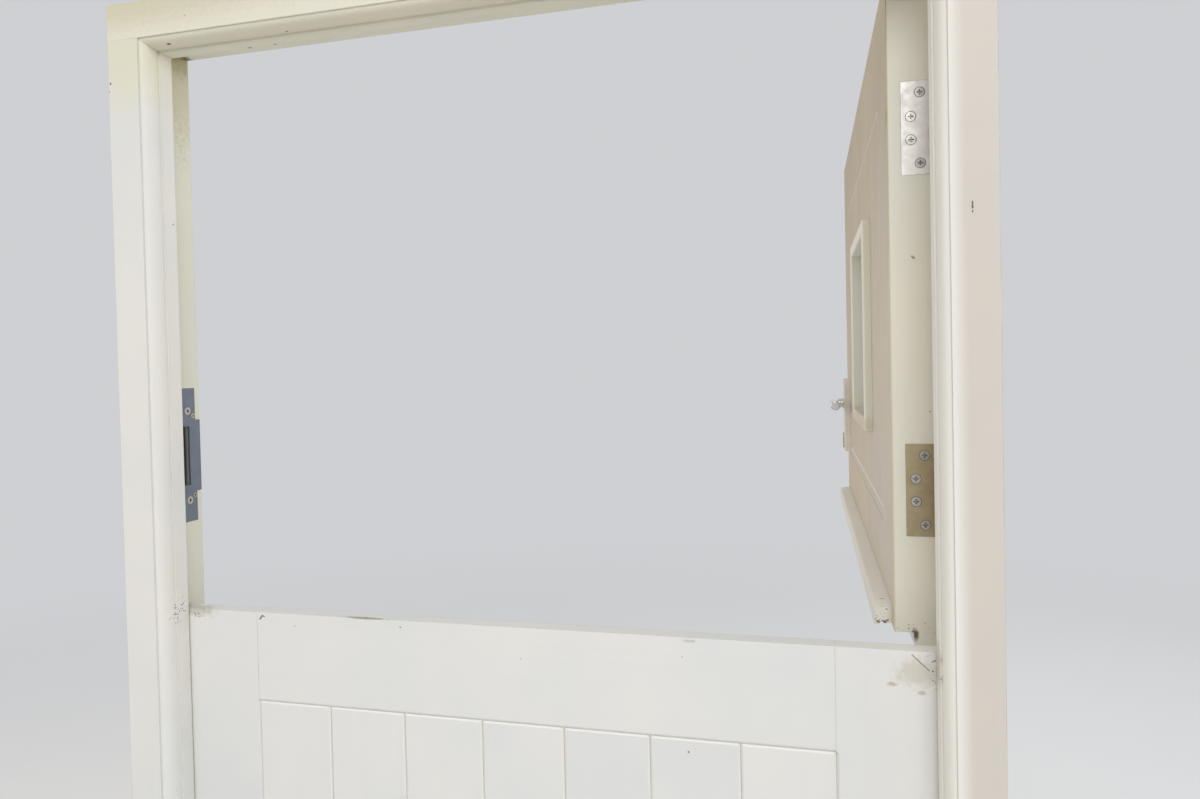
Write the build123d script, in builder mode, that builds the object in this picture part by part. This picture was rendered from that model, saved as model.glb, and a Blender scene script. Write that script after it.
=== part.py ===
from build123d import *
import os

# Dutch stable door: two leaves in one rebated timber frame, hung on the right and opening inwards.
# X runs left to right as seen from outside, Y into the building, Z up. The origin is on the
# underside of the sill, midway between the jambs, in the plane of the closed leaves' outer face.
# The upper leaf stands open at a right angle and the lower leaf is shut.

os.makedirs("parts", exist_ok=True)

# Leaves
leaf_width = 944.0
leaf_thickness = 44.0
lower_leaf_height = 1253.0
upper_leaf_height = 725.0
stile_width = 115.0
top_rail_height = 115.0
upper_bottom_rail_height = 105.0
lower_bottom_rail_height = 195.0
board_count = 7
board_thickness = 24.0
v_groove_depth = 2.5
tongue_depth = 8.0
tongue_thickness = 8.0
tongue_setback = 8.0
joint_clearance = 0.2
tenon_length = 60.0
tenon_thickness = 14.0
tenon_shoulder = 20.0
upper_opening = 90.0
lower_opening = 0.0

# Gaps round the leaves and between them
edge_gap = 3.0
head_gap = 4.0
sill_gap = 5.0
meeting_gap = 3.0

# Meeting rebate: the lower leaf's outer upstand stands in front of the upper leaf's inner tongue
upstand_thickness = 19.5
upstand_height = 15.0
upstand_clearance = 1.5

# Frame
frame_front = -44.0
frame_back = 46.0
jamb_width = 57.0
stop_width = 16.0
stop_gap = 1.5
mould_width = 12.0
mould_step = 2.0
ovolo_height = 18.0
ovolo_width = 9.5
mould_fillet = 3.0
seal_groove_setback = 5.0
seal_groove_width = 3.5
seal_groove_depth = 5.0
seal_lip_width = 10.0
seal_lip_setback = 2.0
seal_fit = 0.2

# Sill and its water bar
sill_height = 50.0
sill_projection = 40.0
sill_fall = 9.0
drip_radius = 2.5
drip_setback = 8.0
water_bar_thickness = 5.0
water_bar_height = 28.0
water_bar_upstand = 13.0
water_bar_setback = 18.0
water_bar_fit = 0.2
water_bar_chamfer = 1.25
bar_rebate_height = 12.0
bar_clearance = 3.0

# Weatherboards
weatherboard_projection = 20.0
weatherboard_height = 19.0
weatherboard_rise = 2.0
weatherboard_undercut = 3.0
weatherboard_slope = 3.0
weatherboard_nose_radius = 4.0
weatherboard_end_gap = 3.0

# Window in the upper leaf
window_offset = 67.0
window_rise = 352.0
window_frame_size = 300.0
window_frame_width = 18.0
window_frame_thickness = 11.0
window_frame_radius = 2.5
window_cover = 8.0
window_recess = 8.0
glass_thickness = 6.0
glass_clearance = 2.0
glazing_gap = 0.3

# Hinges
hinge_height = 102.0
hinge_reach = 36.0
hinge_leaf_thickness = 3.0
knuckle_radius = 6.5
knuckle_count = 5
knuckle_gap = 0.4
hinge_pin_radius = 3.5
hinge_pin_clearance = 0.06
hinge_pin_cap = 1.5
hinge_bed_fit = 0.15
hinge_screw_end = 12.5
hinge_screw_mid = 38.4
hinge_screw_end_setback = 19.7
hinge_screw_mid_setback = 10.3
upper_hinge_rises = (107.0, 504.0)
lower_hinge_rises = (180.0, 990.0)

# Screws
screw_head_radius = 5.75
screw_head_height = 2.6
screw_shank_radius = 2.5
screw_length = 30.0
small_screw_head_radius = 3.8
small_screw_head_height = 1.9
small_screw_shank_radius = 1.7
small_screw_length = 16.0
screw_clearance = 0.15
cross_span = 0.95
cross_width = 0.2
cross_depth = 0.55

# Lock in the upper leaf
lock_axis_depth = 20.0
backset = 60.0
spindle_rise = 215.0
cylinder_drop = 72.0
latch_rise = 7.0
dead_bolt_drop = 43.0
case_depth = 74.0
case_height = 168.0
case_thickness = 17.0
case_wall = 1.5
case_drop = 25.0
forend_height = 235.0
forend_width = 22.0
forend_thickness = 3.0
forend_screw_end = 10.0
mortice_clearance = 0.3
bolt_thickness = 13.0
bolt_clearance = 0.3
latch_height = 20.0
latch_projection = 12.0
latch_length = 44.0
latch_bevel = 9.0
dead_bolt_height = 24.0
dead_bolt_length = 42.0
dead_bolt_throw = 20.0
spindle_size = 8.0
spindle_fit = 0.08
spindle_hole_radius = 9.0
backplate_hole_radius = 7.0
follower_radius = 10.5
follower_hub_radius = 7.5
follower_fit = 0.08
cylinder_radius = 8.5
cylinder_height = 33.0
cylinder_width = 10.0
cylinder_proud = 2.0
cylinder_fit = 0.2
keyway_width = 2.4
keyway_height = 9.0
keyway_depth = 12.0

# Handles
backplate_width = 50.0
backplate_height = 155.0
backplate_thickness = 12.0
backplate_rise = 190.5
backplate_radius = 2.0
backplate_screw_end = 10.0
backplate_screw_side = 8.0
lever_radius = 9.5
collar_radius = 10.5
collar_length = 10.0
lever_projection = 43.0
lever_length = 118.0
lever_bend = 12.0
lever_end_radius = 2.0
lever_gap = 0.4
turn_radius = 11.0
turn_thickness = 8.0
turn_length = 15.0
turn_stem_radius = 5.0
turn_stem_length = 8.0
turn_fit = 0.06
turn_edge_radius = 2.0
turn_gap = 3.0

# Strike plate on the lock jamb
strike_bottom = 109.0
strike_top = 288.0
strike_front = 9.0
strike_back = 39.0
strike_thickness = 3.0
strike_slot_front = 12.0
strike_slot_back = 28.0
strike_slot_bottom = 158.0
strike_slot_top = 237.0
strike_pocket_depth = 26.0
strike_fit = 0.2
lip_bottom = 149.0
lip_top = 245.0
lip_back = 47.5
strike_screw_depth = 26.0
strike_screw_rises = (137.5, 257.5)
strike_small_screw_depth = 35.5
strike_small_screw_rises = (143.5, 250.5)

# Inside barrel bolts: one shoots into the lock jamb, one joins the two leaves
rod_radius = 6.0
rod_clearance = 0.08
rod_height = 11.5
rod_length = 113.0
rod_nose = 2.0
bolt_base_length = 105.0
bolt_base_width = 40.0
bolt_base_thickness = 2.5
guide_length = 14.0
guide_width = 20.0
knob_radius = 6.0
knob_height = 8.0
knob_stem_radius = 3.0
knob_stem_height = 8.0
knob_place = 54.0
bolt_screw_end = 7.0
bolt_screw_side = 14.0
jamb_bolt_drop = 560.0
jamb_bolt_inset = 3.0
joining_bolt_inset = 57.0
joining_bolt_inset_top = 6.0
bolt_travel = 32.0
keep_length = 20.0
keep_clearance = 1.5
jamb_keep_gap = 6.0
joining_keep_gap = 8.0

# Leaf coordinates: x along the leaf and y through it, both measured from the hinge pins
pin_x = leaf_width / 2 + edge_gap / 2
pin_y = leaf_thickness + knuckle_radius
hinge_edge = -edge_gap / 2
lock_edge = hinge_edge - leaf_width
outer_face = -pin_y
inner_face = -knuckle_radius
lock_rebate = lock_edge - edge_gap
panel_right = hinge_edge - stile_width
panel_left = lock_edge + stile_width
board_pitch = (panel_right - panel_left) / board_count
stop_x = leaf_width / 2 + edge_gap - stop_width
frame_half = stop_x + jamb_width

# Levels
sill_top = sill_height
lower_bottom = sill_top + sill_gap
lower_top = lower_bottom + lower_leaf_height
upper_bottom = lower_top + meeting_gap
upper_top = upper_bottom + upper_leaf_height
rebate_top = upper_top + head_gap
stop_top = rebate_top - stop_width
mould_top = stop_top + mould_width
frame_top = stop_top + jamb_width
tongue_bottom = lower_top - upstand_height + meeting_gap
tongue_front = upstand_thickness + upstand_clearance
bar_rebate_depth = water_bar_setback + water_bar_thickness + bar_clearance
spindle_z = lower_top + spindle_rise
cylinder_z = spindle_z - cylinder_drop
case_z = spindle_z - case_drop
backset_x = lock_edge + backset
lock_y = outer_face + lock_axis_depth
latch_z = spindle_z + latch_rise
dead_bolt_z = spindle_z - dead_bolt_drop
doorway = (lock_rebate, hinge_edge + edge_gap)
stop_reveals = (doorway[0] + stop_width, doorway[1] - stop_width)


# Axes and planes

def leaf_axes(opening):
    """Axes of a leaf swung inwards by an angle: origin on the pins, x to the hinge edge, y inwards."""
    along = Vector(1, 0, 0).rotate(Axis.Z, -opening)
    return Plane(origin=(pin_x, pin_y, 0), x_dir=along, z_dir=(0, 0, 1))


upper = leaf_axes(upper_opening)
lower = leaf_axes(lower_opening)
closed = leaf_axes(0)


def across(axes, x):
    """Plane square to the leaf's width: sketch x runs inwards, sketch y up, normal to the hinge edge."""
    return Plane(origin=axes.from_local_coords((x, 0, 0)), x_dir=axes.y_dir, z_dir=axes.x_dir)


def outwards(axes, y):
    """Plane parallel to the leaf's faces: sketch x along the leaf, sketch y up, normal outwards."""
    return Plane(origin=axes.from_local_coords((0, y, 0)), x_dir=axes.x_dir, z_dir=-axes.y_dir)


def inwards(axes, y):
    """As outwards, with the normal inwards: sketch x runs along the leaf from hinge to lock edge."""
    return Plane(origin=axes.from_local_coords((0, y, 0)), x_dir=-axes.x_dir, z_dir=axes.y_dir)


def behind(start, end):
    """Leaf y limits from two distances behind the outer face."""
    return (outer_face + start, outer_face + end)


def about(centre, size):
    return (centre - size / 2, centre + size / 2)


def grown(limits, amount):
    return (limits[0] - amount, limits[1] + amount)


# Shapes that several pieces share, added to the part being built

def slab(axes, x, y, z, mode=Mode.ADD):
    """Rectangular block between two limits along each leaf axis."""
    with BuildSketch(axes.offset(z[0])) as outline:
        with Locations(((x[0] + x[1]) / 2, (y[0] + y[1]) / 2)):
            Rectangle(abs(x[1] - x[0]), abs(y[1] - y[0]))
    extrude(outline.sketch, amount=z[1] - z[0], mode=mode)


def prism(plane, points, length, mode=Mode.ADD):
    """Straight prism on a polygon, along the plane's normal."""
    with BuildSketch(plane) as outline:
        with BuildLine():
            Polyline(*points, close=True)
        make_face()
    extrude(outline.sketch, amount=length, mode=mode)


def bar(plane, centre, radius, length, mode=Mode.ADD):
    """Round bar from a point of a plane along its normal."""
    with BuildSketch(plane) as outline:
        with Locations(centre):
            Circle(radius)
    extrude(outline.sketch, amount=length, mode=mode)


def cone(plane, centre, low_radius, high_radius, height, mode=Mode.ADD):
    """Cone frustum from a point of a plane along its normal."""
    with BuildSketch(plane) as low:
        with Locations(centre):
            Circle(low_radius)
    with BuildSketch(plane.offset(height)) as high:
        with Locations(centre):
            Circle(high_radius)
    loft([low.sketch.face(), high.sketch.face()], mode=mode)


def screw(plane, centre, small=False):
    """Countersunk cross-head screw: its head is flush with the plane and its shank runs behind it."""
    head = small_screw_head_radius if small else screw_head_radius
    depth = small_screw_head_height if small else screw_head_height
    shank = small_screw_shank_radius if small else screw_shank_radius
    length = small_screw_length if small else screw_length
    cone(plane.offset(-depth), centre, shank, head, depth)
    bar(plane.offset(-length), centre, shank, length - depth)
    with BuildSketch(plane) as cross:
        with Locations(centre):
            Rectangle(cross_span * head, cross_width * head)
            Rectangle(cross_width * head, cross_span * head)
    extrude(cross.sketch, amount=-cross_depth * depth, mode=Mode.SUBTRACT)


def screw_hole(plane, centre, small=False):
    """Countersunk hole round such a screw, with a small clearance all over."""
    head = small_screw_head_radius if small else screw_head_radius
    depth = small_screw_head_height if small else screw_head_height
    shank = small_screw_shank_radius if small else screw_shank_radius
    length = small_screw_length if small else screw_length
    spare = screw_clearance
    cone(plane.offset(-depth), centre, shank + spare, head + spare, depth, Mode.SUBTRACT)
    bar(plane.offset(-length - spare), centre, shank + spare, length + spare, Mode.SUBTRACT)


def save(piece, name):
    piece.part.label = name
    export_step(piece.part, f"parts/{name}.step")


# Places of the hinges and their screws

upper_hinges = {"upper_leaf_low": upper_bottom + upper_hinge_rises[0],
                "upper_leaf_high": upper_bottom + upper_hinge_rises[1]}
lower_hinges = {"lower_leaf_low": lower_bottom + lower_hinge_rises[0],
                "lower_leaf_high": lower_bottom + lower_hinge_rises[1]}


def hinge_screw_places(base):
    """Screws of a hinge leaf in its across plane: x inwards from the pins, y up. The pairs zigzag."""
    end = hinge_screw_end_setback - hinge_reach
    middle = hinge_screw_mid_setback - hinge_reach
    top = base + hinge_height
    return [(end, base + hinge_screw_end), (middle, base + hinge_screw_mid),
            (middle, top - hinge_screw_mid), (end, top - hinge_screw_end)]


def hinge_face(axes, side):
    """Plane of a hinge leaf's bare face. Side 1 is let into the jamb, side -1 into the door leaf."""
    face = across(axes, side * edge_gap / 2)
    if side > 0:
        return Plane(origin=face.origin, x_dir=-face.x_dir, z_dir=-face.z_dir)
    return face


def on_face(side, place):
    """A place of the across plane in the coordinates of a hinge leaf's bare face."""
    return (-place[0] * side, place[1]) if side > 0 else place


def hinge_bed(axes, side, base):
    """Bed for a hinge leaf in a timber edge, the screws' pilot holes and room for the knuckles."""
    edge = side * edge_gap / 2
    height = grown((base, base + hinge_height), hinge_bed_fit)
    depth = edge + side * hinge_leaf_thickness
    slab(axes, (edge, depth), (-hinge_reach - hinge_bed_fit, 0), height, Mode.SUBTRACT)
    knuckles = grown(height, hinge_pin_cap)
    bar(axes.offset(knuckles[0]), (0, 0), knuckle_radius + knuckle_gap, knuckles[1] - knuckles[0],
        Mode.SUBTRACT)
    for place in hinge_screw_places(base):
        screw_hole(hinge_face(axes, side), on_face(side, place))


def hinge_leaf(axes, side, base):
    """Flat hinge leaf with its share of the knuckles: the jamb's has the odd ones."""
    edge = side * edge_gap / 2
    pitch = hinge_height / knuckle_count
    slab(axes, (edge, edge + side * hinge_leaf_thickness), (-hinge_reach, 0), (base, base + hinge_height))
    for number in range(knuckle_count):
        low = base + number * pitch
        mine = (number % 2 == 0) == (side > 0)
        if mine:
            bar(axes.offset(low + knuckle_gap / 2), (0, 0), knuckle_radius, pitch - knuckle_gap)
        else:
            bar(axes.offset(low - knuckle_gap / 2), (0, 0), knuckle_radius + knuckle_gap,
                pitch + knuckle_gap, Mode.SUBTRACT)
    bar(axes.offset(base), (0, 0), hinge_pin_radius + hinge_pin_clearance, hinge_height, Mode.SUBTRACT)
    for place in hinge_screw_places(base):
        screw_hole(hinge_face(axes, side), on_face(side, place))


def hinge_pin(axes, base):
    """Loose pin with a flat cap at each end."""
    bar(axes.offset(base), (0, 0), hinge_pin_radius, hinge_height)
    bar(axes.offset(base + hinge_height), (0, 0), knuckle_radius, hinge_pin_cap)
    bar(axes.offset(base - hinge_pin_cap), (0, 0), knuckle_radius, hinge_pin_cap)


# Inside barrel bolts

def jamb_bolt_plane(axes, y):
    """Plane of an inner face at the lock edge: sketch x shoots past the edge, sketch y up."""
    origin = axes.from_local_coords((lock_edge, y, lower_top - jamb_bolt_drop))
    return Plane(origin=origin, x_dir=-axes.x_dir, z_dir=axes.y_dir)


def joining_bolt_plane(axes, z):
    """Plane of an inner face near the lock edge: sketch x shoots up from a height."""
    origin = axes.from_local_coords((lock_edge + joining_bolt_inset, inner_face, z))
    return Plane(origin=origin, x_dir=(0, 0, 1), z_dir=axes.y_dir)


jamb_back_y = frame_back - pin_y
jamb_bolt_face = jamb_bolt_plane(lower, inner_face)
jamb_keep_face = jamb_bolt_plane(closed, jamb_back_y)
joining_bolt_face = joining_bolt_plane(lower, lower_top - upstand_height)
joining_keep_face = joining_bolt_plane(upper, tongue_bottom)
jamb_bolt_start = -jamb_bolt_inset
joining_bolt_start = -joining_bolt_inset_top
jamb_keep_start = edge_gap + jamb_keep_gap
jamb_keep_rod_height = rod_height + inner_face - jamb_back_y


def block(plane, x, y, height, mode=Mode.ADD):
    """Block standing on a plane, between limits of its own two axes."""
    slab(plane, x, y, (0, height), mode)


def along(plane, x):
    """Plane square to a bolt's travel, at a place x: sketch x across, sketch y off the face."""
    return Plane(origin=plane.from_local_coords((x, 0, 0)), x_dir=plane.y_dir, z_dir=plane.x_dir)


def guide(plane, x, axis_height, bore):
    """Rounded block that a rod slides through."""
    width = (-guide_width / 2, guide_width / 2)
    block(plane, x, width, axis_height)
    bar(along(plane, x[0]), (0, axis_height), guide_width / 2, x[1] - x[0])
    block(plane, x, width, -guide_width, Mode.SUBTRACT)
    bar(along(plane, x[0]), (0, axis_height), bore, x[1] - x[0], Mode.SUBTRACT)


def base_screw_places(start):
    ends = (start - bolt_screw_end, start - bolt_base_length + bolt_screw_end)
    return [(x, y) for x in ends for y in (-bolt_screw_side, bolt_screw_side)]


def keep_screw_places(start):
    return [(start + keep_length / 2, y) for y in (-bolt_screw_side, bolt_screw_side)]


def bolt_base(plane, start):
    """Plate with a guide at each end."""
    tail = start - bolt_base_length
    block(plane, (tail, start), (-bolt_base_width / 2, bolt_base_width / 2), bolt_base_thickness)
    for x in ((start - guide_length, start), (tail, tail + guide_length)):
        guide(plane, x, rod_height, rod_radius + rod_clearance)
    face = plane.offset(bolt_base_thickness)
    for place in base_screw_places(start):
        screw_hole(face, place, True)


def bolt_rod(plane, start):
    """Round rod with a conical nose, and a knob on a stem."""
    bar(along(plane, start - rod_length), (0, rod_height), rod_radius, rod_length - rod_nose)
    cone(along(plane, start - rod_nose), (0, rod_height), rod_radius, rod_radius - rod_nose, rod_nose)
    knob = plane.offset(rod_height)
    bar(knob, (start - knob_place, 0), knob_stem_radius, rod_radius + knob_stem_height)
    bar(knob.offset(rod_radius + knob_stem_height), (start - knob_place, 0), knob_radius, knob_height)


def keep(plane, start, axis_height):
    """Plate with a square staple, which takes the rod's end."""
    x = (start, start + keep_length)
    bore = rod_radius + keep_clearance
    block(plane, x, (-bolt_base_width / 2, bolt_base_width / 2), bolt_base_thickness)
    block(plane, x, (-guide_width / 2, guide_width / 2), axis_height + guide_width / 2)
    block(plane.offset(axis_height - bore), x, (-bore, bore), 2 * bore, Mode.SUBTRACT)
    face = plane.offset(bolt_base_thickness)
    for place in keep_screw_places(start):
        screw_hole(face, place, True)


# Frame

def frame_section(plane):
    """Section of jamb and head: x from the stop's reveal to the wall, y through the frame.
    The front arris carries an ovolo with a small fillet on each side of it."""
    arc_x = mould_width - ovolo_width
    arc_y = frame_front + mould_step + ovolo_height
    groove_start = seal_groove_setback
    groove_end = seal_groove_setback + seal_groove_width
    groove_floor = -stop_gap - seal_groove_depth
    with BuildSketch(plane) as section:
        with BuildLine():
            Polyline(
                (mould_width, frame_front + mould_step),
                (mould_width, frame_front),
                (jamb_width, frame_front),
                (jamb_width, frame_back),
                (stop_width, frame_back),
                (stop_width, -stop_gap),
                (groove_end, -stop_gap),
                (groove_end, groove_floor),
                (groove_start, groove_floor),
                (groove_start, -stop_gap),
                (0, -stop_gap),
                (0, arc_y + mould_fillet),
                (arc_x, arc_y + mould_fillet),
                (arc_x, arc_y),
            )
            EllipticalCenterArc((mould_width, arc_y), ovolo_width, ovolo_height, start_angle=180, arc_size=90)
        make_face()
    return section.sketch


def head_joint(side, above):
    """Cuts a jamb above the line where the head sits on it, or the head below that line. Behind the
    stop the joint is level, and in front of it the moulding is mitred."""
    far = side * (frame_half + jamb_width)
    level = frame_top if above else stop_top - mould_width
    line = [(side * (stop_x - mould_width), stop_top - mould_width),
            (side * (stop_x + mould_width), mould_top), (far, mould_top), (far, level)]
    if above:
        line += [(side * (stop_x - mould_width), level)]
    front = Plane.XZ.offset(stop_gap)
    prism(front, line, -stop_gap - frame_front, Mode.SUBTRACT)


def jamb(side):
    """One jamb, from the sill to the head."""
    bottom = Plane(origin=(side * stop_x, 0, sill_top), x_dir=(side, 0, 0), z_dir=(0, 0, side))
    extrude(frame_section(bottom), amount=side * (rebate_top - sill_top))
    head_joint(side, True)


def lock_face():
    """Plane of the lock jamb's rebate: sketch x outwards from the pins' line, sketch y up."""
    return across(closed, lock_rebate)


def strike_screws():
    """Screws of the strike plate: place in the lock face and whether small."""
    large = [((outer_face + strike_screw_depth, lower_top + rise), False) for rise in strike_screw_rises]
    small = [((outer_face + strike_small_screw_depth, lower_top + rise), True)
             for rise in strike_small_screw_rises]
    return large + small


def strike_outline(spare):
    """Strike plate with its lip, grown by a fit for the bed that takes it."""
    inside = (lock_rebate - strike_thickness, lock_rebate)
    mode = Mode.SUBTRACT if spare else Mode.ADD
    slab(closed, inside, grown(behind(strike_front, strike_back), spare),
         grown((lower_top + strike_bottom, lower_top + strike_top), spare), mode)
    slab(closed, inside, behind(strike_back, lip_back + spare),
         grown((lower_top + lip_bottom, lower_top + lip_top), spare), mode)


def strike_slot(depth):
    slab(closed, (lock_rebate - depth, lock_rebate), behind(strike_slot_front, strike_slot_back),
         (lower_top + strike_slot_bottom, lower_top + strike_slot_top), Mode.SUBTRACT)


with BuildPart() as left_jamb:
    jamb(-1)
    strike_outline(strike_fit)
    strike_slot(strike_pocket_depth)
    for place, small in strike_screws():
        screw_hole(lock_face(), place, small)
    for place in keep_screw_places(jamb_keep_start):
        screw_hole(jamb_keep_face.offset(bolt_base_thickness), place, True)
save(left_jamb, "left_jamb")

with BuildPart() as right_jamb:
    jamb(1)
    for base in (*upper_hinges.values(), *lower_hinges.values()):
        hinge_bed(closed, 1, base)
save(right_jamb, "right_jamb")

with BuildPart() as head:
    right_end = Plane(origin=(frame_half, 0, stop_top), x_dir=(0, 0, 1), z_dir=(-1, 0, 0))
    extrude(frame_section(right_end), amount=2 * frame_half)
    head_joint(-1, False)
    head_joint(1, False)
save(head, "head")

with BuildPart() as sill:
    left_end = Plane(origin=(-frame_half, 0, 0), x_dir=(0, 1, 0), z_dir=(1, 0, 0))
    nose = frame_front - sill_projection
    prism(left_end, [(frame_back, 0), (frame_back, sill_top), (frame_front, sill_top),
                     (nose, sill_top - sill_fall), (nose, 0)], 2 * frame_half)
    bar(left_end, (nose + drip_setback, 0), drip_radius, 2 * frame_half, Mode.SUBTRACT)
    slab(closed, doorway,
         grown(behind(water_bar_setback, water_bar_setback + water_bar_thickness), water_bar_fit),
         (sill_top + water_bar_upstand - water_bar_height - water_bar_fit, sill_top), Mode.SUBTRACT)
save(sill, "sill")

with BuildPart() as water_bar:
    slab(closed, grown(doorway, -water_bar_fit),
         behind(water_bar_setback, water_bar_setback + water_bar_thickness),
         (sill_top + water_bar_upstand - water_bar_height, sill_top + water_bar_upstand))
    top = water_bar.faces().sort_by(Axis.Z)[-1]
    chamfer(top.edges().filter_by(Axis.X), water_bar_chamfer)
save(water_bar, "water_bar")


def seal_section(plane):
    """Rubber strip in the stop's groove, with a flat lip that the leaf closes on."""
    stem = (seal_groove_setback + seal_fit, seal_groove_setback + seal_groove_width - seal_fit)
    with BuildSketch(plane) as section:
        with BuildLine():
            Polyline((seal_lip_setback, -stop_gap), (stem[0], -stop_gap),
                     (stem[0], -stop_gap - seal_groove_depth + seal_fit),
                     (stem[1], -stop_gap - seal_groove_depth + seal_fit),
                     (stem[1], -stop_gap), (seal_lip_setback + seal_lip_width, -stop_gap),
                     (seal_lip_setback + seal_lip_width, -seal_fit), (seal_lip_setback, -seal_fit),
                     close=True)
        make_face()
    return section.sketch


with BuildPart() as weather_seals:
    seal_top = stop_top + seal_lip_setback - seal_fit
    for side in (-1, 1):
        bottom = Plane(origin=(side * stop_x, 0, sill_top), x_dir=(side, 0, 0), z_dir=(0, 0, side))
        extrude(seal_section(bottom), amount=side * (seal_top - sill_top))
    seal_end = Plane(origin=(stop_x, 0, stop_top), x_dir=(0, 0, 1), z_dir=(-1, 0, 0))
    extrude(seal_section(seal_end), amount=2 * stop_x)
save(weather_seals, "weather_seals")

with BuildPart() as strike_plate:
    strike_outline(0)
    strike_slot(strike_thickness)
    for place, small in strike_screws():
        screw_hole(lock_face(), place, small)
save(strike_plate, "strike_plate")

with BuildPart() as strike_plate_screws:
    for place, small in strike_screws():
        screw(lock_face(), place, small)
save(strike_plate_screws, "strike_plate_screws")

# Hinges

for axes, hinges in ((upper, upper_hinges), (lower, lower_hinges)):
    for name, base in hinges.items():
        with BuildPart() as frame_side:
            hinge_leaf(closed, 1, base)
        save(frame_side, f"{name}_hinge_frame_side")
        with BuildPart() as door_side:
            hinge_leaf(axes, -1, base)
        save(door_side, f"{name}_hinge_door_side")

with BuildPart() as frame_hinge_screws:
    for base in (*upper_hinges.values(), *lower_hinges.values()):
        for place in hinge_screw_places(base):
            screw(hinge_face(closed, 1), on_face(1, place))
save(frame_hinge_screws, "frame_hinge_screws")

with BuildPart() as upper_leaf_hinge_screws:
    for base in upper_hinges.values():
        for place in hinge_screw_places(base):
            screw(hinge_face(upper, -1), place)
save(upper_leaf_hinge_screws, "upper_leaf_hinge_screws")

with BuildPart() as lower_leaf_hinge_screws:
    for base in lower_hinges.values():
        for place in hinge_screw_places(base):
            screw(hinge_face(lower, -1), place)
save(lower_leaf_hinge_screws, "lower_leaf_hinge_screws")

with BuildPart() as upper_hinge_pins:
    for base in upper_hinges.values():
        hinge_pin(closed, base)
save(upper_hinge_pins, "upper_hinge_pins")

with BuildPart() as lower_hinge_pins:
    for base in lower_hinges.values():
        hinge_pin(closed, base)
save(lower_hinge_pins, "lower_hinge_pins")


# Leaves

upper_panel = (upper_bottom + upper_bottom_rail_height, upper_top - top_rail_height)
lower_panel = (lower_bottom + lower_bottom_rail_height, lower_top - top_rail_height)
tongue = behind(tongue_setback, tongue_setback + tongue_thickness)
window_hole = window_frame_size - 2 * window_cover
window_x = window_offset - pin_x
window_z = upper_bottom + window_rise
hole_x = about(window_x, window_hole)
hole_z = about(window_z, window_hole)


def upper_rebate(x):
    """The outer part of the upper leaf's bottom edge is cut back, which leaves the tongue inside."""
    slab(upper, x, (outer_face, outer_face + tongue_front), (tongue_bottom, upper_bottom), Mode.SUBTRACT)


def lower_rebates(x):
    """The lower leaf's top is cut down behind the upstand, and its bottom in front, over the water bar."""
    slab(lower, x, behind(upstand_thickness, leaf_thickness),
         (lower_top - upstand_height, lower_top), Mode.SUBTRACT)
    slab(lower, x, behind(0, bar_rebate_depth),
         (lower_bottom, lower_bottom + bar_rebate_height), Mode.SUBTRACT)


def upright_v(axes, x, z):
    """V groove down the outer face along a joint between boards or between a board and a stile."""
    prism(axes.offset(z[0]), [(x - v_groove_depth, outer_face), (x, outer_face + v_groove_depth),
                              (x + v_groove_depth, outer_face)], z[1] - z[0], Mode.SUBTRACT)


def level_v(axes, x, z):
    """V groove along a rail's joint with the boards."""
    prism(across(axes, x[0]), [(outer_face, z - v_groove_depth), (outer_face + v_groove_depth, z),
                               (outer_face, z + v_groove_depth)], x[1] - x[0], Mode.SUBTRACT)


def rail_spans(z):
    """Heights of a rail's tenons, with a shoulder above and below."""
    return grown(z, -tenon_shoulder)


def stile(axes, x, inner, z, panel, rails):
    """Upright of a leaf: inner is its edge at the boards, and rails are the heights of the rails."""
    toward = 1 if x[1] > inner else -1
    slab(axes, x, (outer_face, inner_face), z)
    slab(axes, (inner, inner + toward * (tongue_depth + joint_clearance)), grown(tongue, joint_clearance),
         panel, Mode.SUBTRACT)
    for rail_z in rails:
        slab(axes, (inner, inner + toward * (tenon_length + joint_clearance)),
             grown(about((outer_face + inner_face) / 2, tenon_thickness), joint_clearance),
             grown(rail_spans(rail_z), joint_clearance), Mode.SUBTRACT)
    upright_v(axes, inner, panel)


def rail(axes, z, panel_edge, tenon_z):
    """Cross member between the stiles, with a tenon at each end and a groove for the boards' ends."""
    up = 1 if z[1] > panel_edge else -1
    slab(axes, (panel_left, panel_right), (outer_face, inner_face), z)
    slab(axes, grown((panel_left, panel_right), tenon_length),
         about((outer_face + inner_face) / 2, tenon_thickness), rail_spans(tenon_z))
    slab(axes, (panel_left, panel_right), grown(tongue, joint_clearance),
         sorted((panel_edge, panel_edge + up * (tongue_depth + joint_clearance))), Mode.SUBTRACT)
    level_v(axes, (panel_left, panel_right), panel_edge)


def board(axes, left, right, z, panel, first):
    """One board: its ends enter the rails' grooves, and its tongue enters the next board's groove."""
    sides = grown((left, right), -joint_clearance / 2)
    tongue_z = (z[0] - tongue_depth if z[0] == panel[0] else z[0],
                z[1] + tongue_depth if z[1] == panel[1] else z[1])
    slab(axes, sides, behind(0, board_thickness), grown(z, -joint_clearance / 2))
    slab(axes, sides, tongue, tongue_z)
    slab(axes, (right - joint_clearance, right + tongue_depth), tongue, z)
    if first:
        slab(axes, (left - tongue_depth, left + joint_clearance), tongue, z)
    else:
        slab(axes, (left, left + tongue_depth + joint_clearance), grown(tongue, joint_clearance),
             tongue_z, Mode.SUBTRACT)
    for x in (left, right):
        upright_v(axes, x, z)


# Upper leaf

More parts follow.
